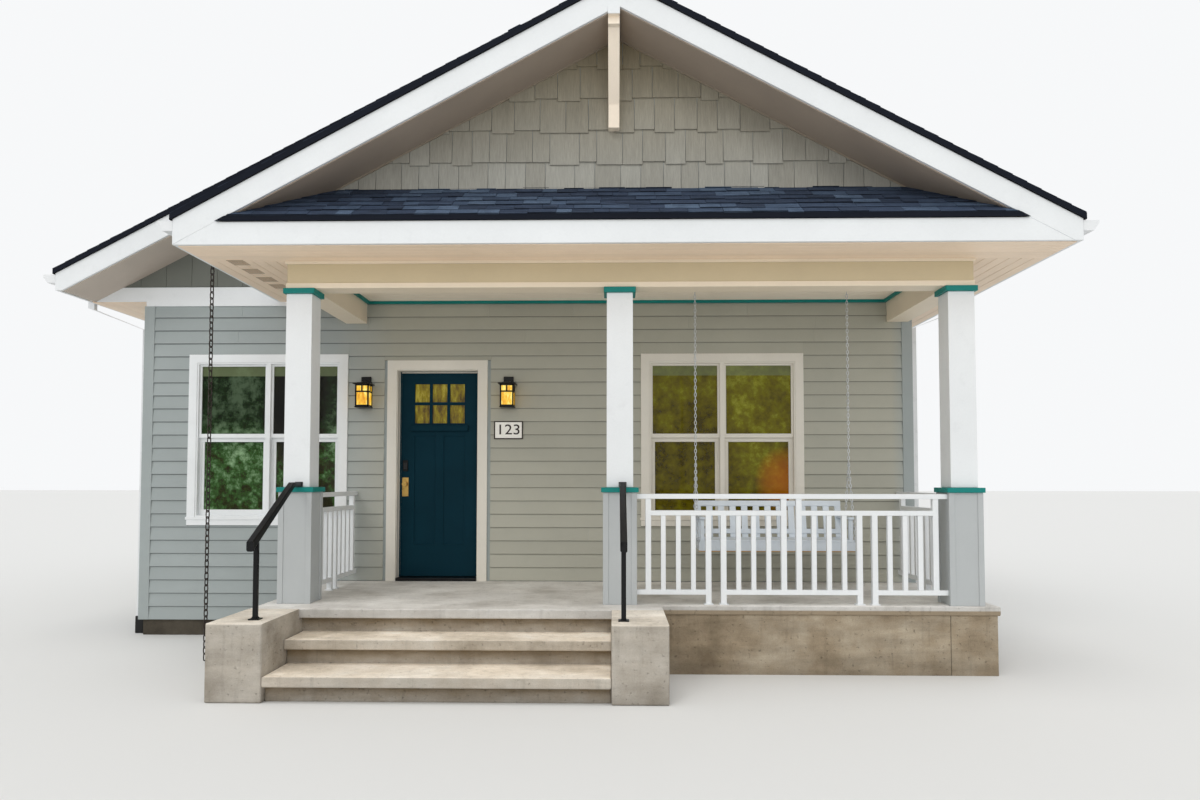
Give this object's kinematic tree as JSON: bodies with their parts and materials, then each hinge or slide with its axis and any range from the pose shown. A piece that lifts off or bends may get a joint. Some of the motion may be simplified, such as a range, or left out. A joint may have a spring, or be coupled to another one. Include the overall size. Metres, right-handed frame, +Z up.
{
  "type": "bungalow",
  "caption": "Gabled bungalow with a front porch on tapered columns, lap siding, concrete steps, an opening front door and a hanging porch swing.",
  "frame": {"origin": "on the ground, under the centre of the whole outline", "axes": "+X to the right as seen from the street, +Y into the house, +Z up"},
  "size_m": [10.49, 14.647, 6.7701],
  "materials": {
    "concrete": "matt",
    "floor_wood": "satin",
    "siding": "matt",
    "trim": "satin",
    "soffit": "matt",
    "shingles": "matt",
    "gutter_metal": "satin",
    "black_plastic": "satin",
    "teal_trim": "satin",
    "beam_siding": "matt",
    "pedestal_siding": "matt",
    "black_metal": "satin",
    "door_paint": "satin",
    "window_glass": "clear",
    "lock_metal": "satin",
    "plaque": "glazed",
    "dark_copper": "aged",
    "swing_paint": "satin",
    "chain_metal": "galvanised"
  },
  "bodies": {
    "house": {"foundation_wall": "concrete", "house_floor": "floor_wood", "front_wall_left": "siding", "front_wall_right": "siding", "front_wall_door_bay": "siding", "left_wall": "siding", "right_wall": "siding", "rear_wall": "siding", "front_gable_wall": "siding", "rear_gable_wall": "siding", "frieze_boards": "trim", "corner_boards": "siding", "main_roof_left": "soffit", "main_roof_right": "soffit", "main_shingles_left": "shingles", "main_shingles_right": "shingles", "main_barge_boards": "trim", "eave_fascias": "trim", "eave_soffits": "soffit", "gutters": "gutter_metal", "downspouts": "gutter_metal", "downspout_boots": "black_plastic", "porch_roof_left": "soffit", "porch_roof_right": "soffit", "porch_shingles_left": "shingles", "porch_shingles_right": "shingles", "porch_barge_boards": "trim", "porch_fascia": "trim", "porch_gable_wall": "siding", "pent_roof": "shingles", "gable_bracket": "trim", "porch_ceiling": "trim", "ceiling_moulding": "teal_trim", "porch_beams": "beam_siding", "column_pedestals": "pedestal_siding", "column_shafts": "trim", "column_ledges": "teal_trim", "porch_floor": "concrete", "porch_foundation": "concrete", "porch_steps": "concrete", "step_cheeks": "concrete", "front_railing": "trim", "side_railings": "trim", "handrails": "black_metal", "door_frame": "trim", "door_threshold": "black_metal", "front_windows": "trim", "side_windows": "trim", "rear_windows": "trim", "window_glass": "window_glass", "lanterns": "black_metal", "number_plaque": "plaque", "rain_chain": "dark_copper", "swing_hooks": "black_metal"},
    "door": {"front_door": "door_paint", "door_glass": "window_glass", "door_lockset": "lock_metal"},
    "swing": {"swing_bench": "swing_paint", "swing_chains": "chain_metal"}
  },
  "joints": [
    {"name": "door_hinge", "type": "hinge", "parent": "house", "child": "door", "pos_m": [-0.5455, -4.1485, 1.9], "axis": [0, 0, -1], "range_deg": [0, 100]},
    {"name": "swing_pivot", "type": "hinge", "parent": "house", "child": "swing", "pos_m": [2.6825, -5.1865, 3.815], "axis": [1, 0, 0], "range_deg": [-9, 9]}
  ]
}
